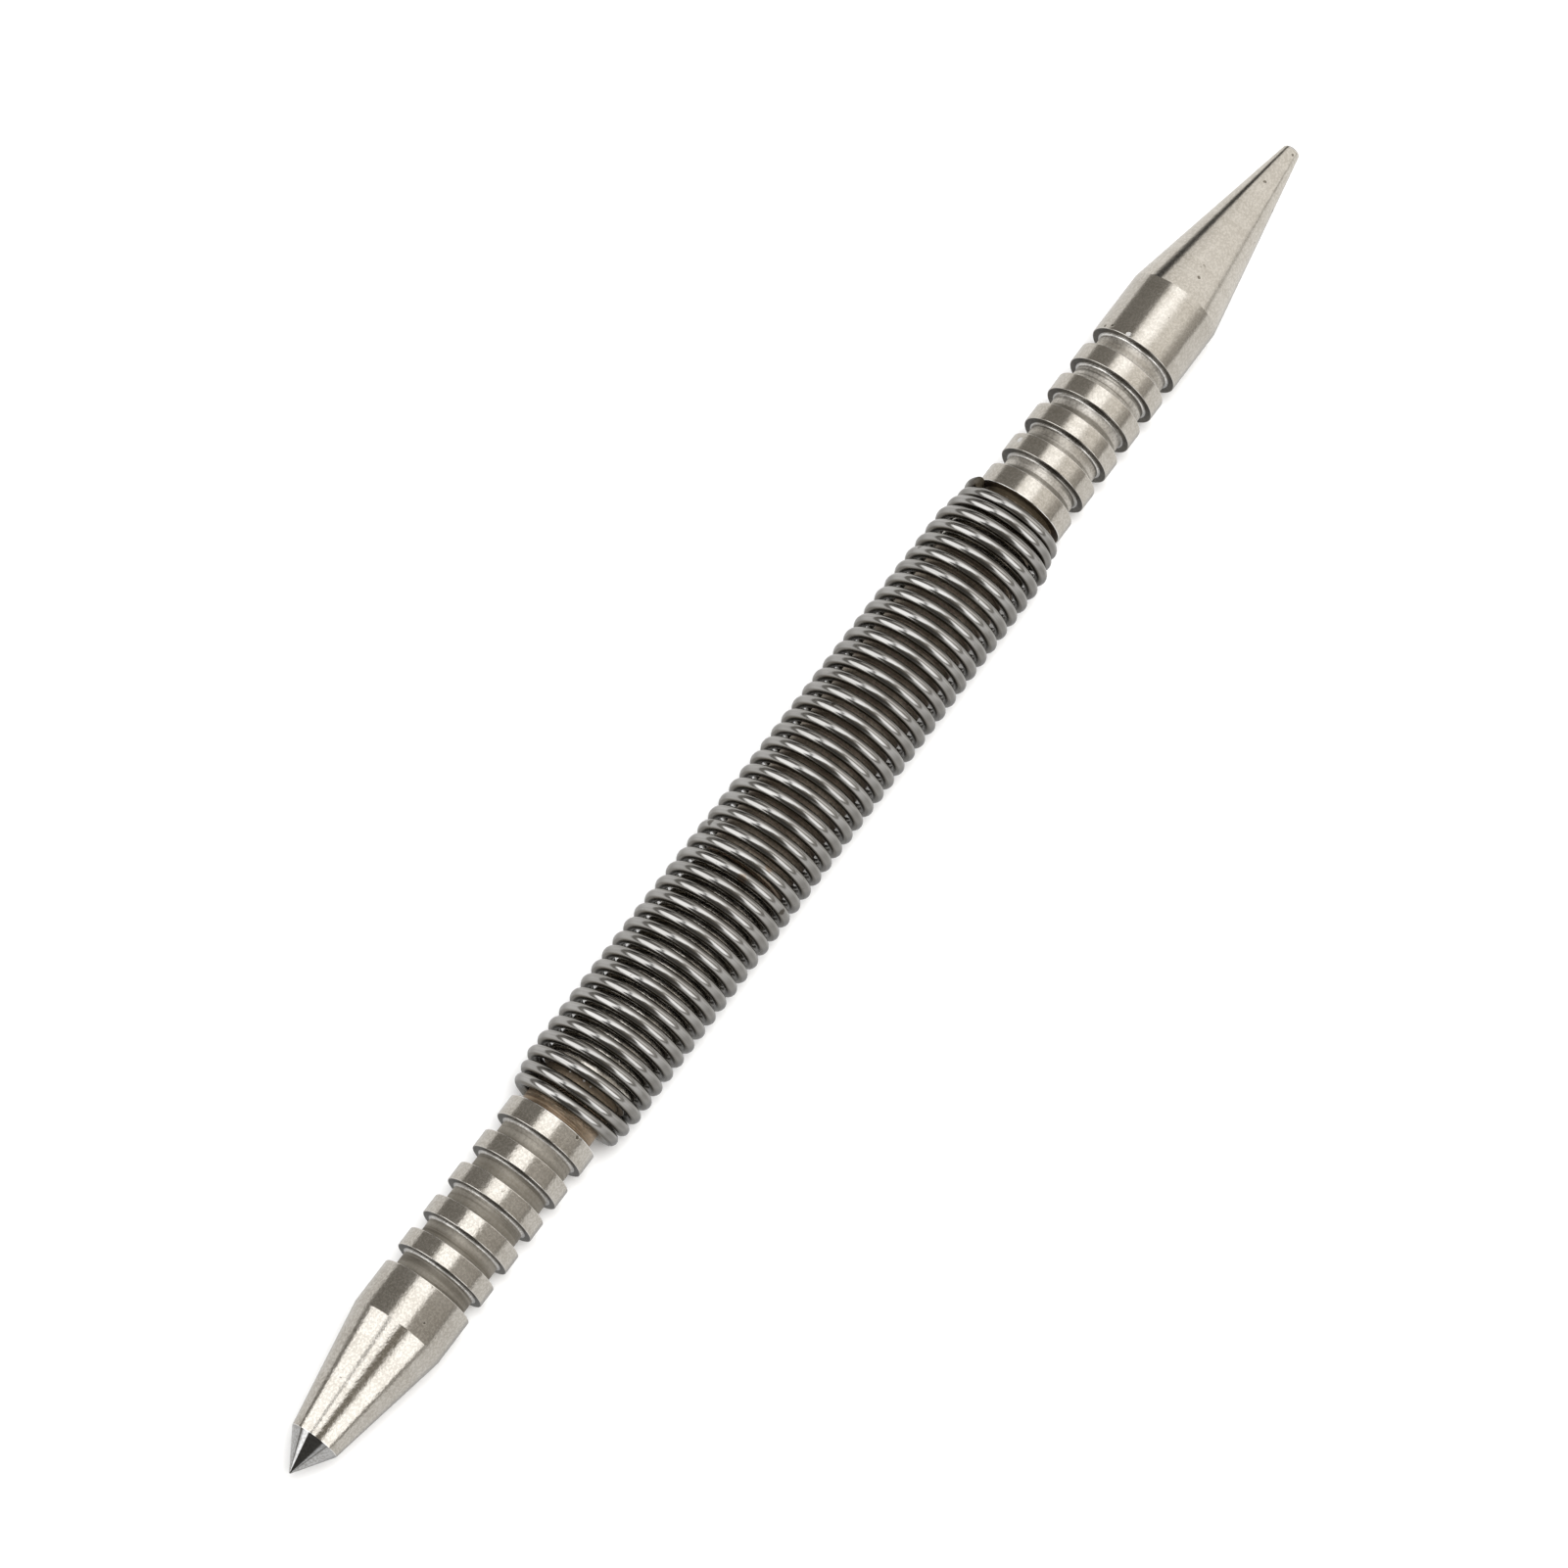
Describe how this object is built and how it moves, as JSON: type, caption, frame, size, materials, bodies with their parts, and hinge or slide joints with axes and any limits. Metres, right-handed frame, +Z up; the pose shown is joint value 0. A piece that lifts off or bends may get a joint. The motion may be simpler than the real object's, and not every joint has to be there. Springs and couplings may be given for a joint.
{
  "type": "center punch",
  "caption": "Double-ended spring punch: a ground centre punch and a tapered nail set joined by a coil spring, which slaps their inner faces together when one end is pulled and let go.",
  "frame": {"origin": "on the ground plane, under the middle of the tool's length, with the spring's coils touching the ground", "axes": "+X along the tool from the centre punch to the nail set, +Z up, +Y to the left of +X"},
  "size_m": [0.1622, 0.0122, 0.0123],
  "materials": {
    "punch_plating": "satin nickel plate on turned steel, bright ground point",
    "nail_set_plating": "satin nickel plate on turned steel, dark bare shank inside the spring",
    "spring_wire": "drawn spring steel wire, lightly oiled"
  },
  "bodies": {
    "punch_end": {"center_punch": "punch_plating", "coil_spring": "spring_wire"},
    "nail_end": {"nail_set": "nail_set_plating"}
  },
  "joints": [
    {"name": "pull_apart", "type": "slide", "parent": "punch_end", "child": "nail_end", "axis": [1, 0, 0], "range_m": [0, 0.05], "stiffness_N_per_m": 377, "springref_m": -0.02, "deforming": ["coil_spring"]}
  ]
}
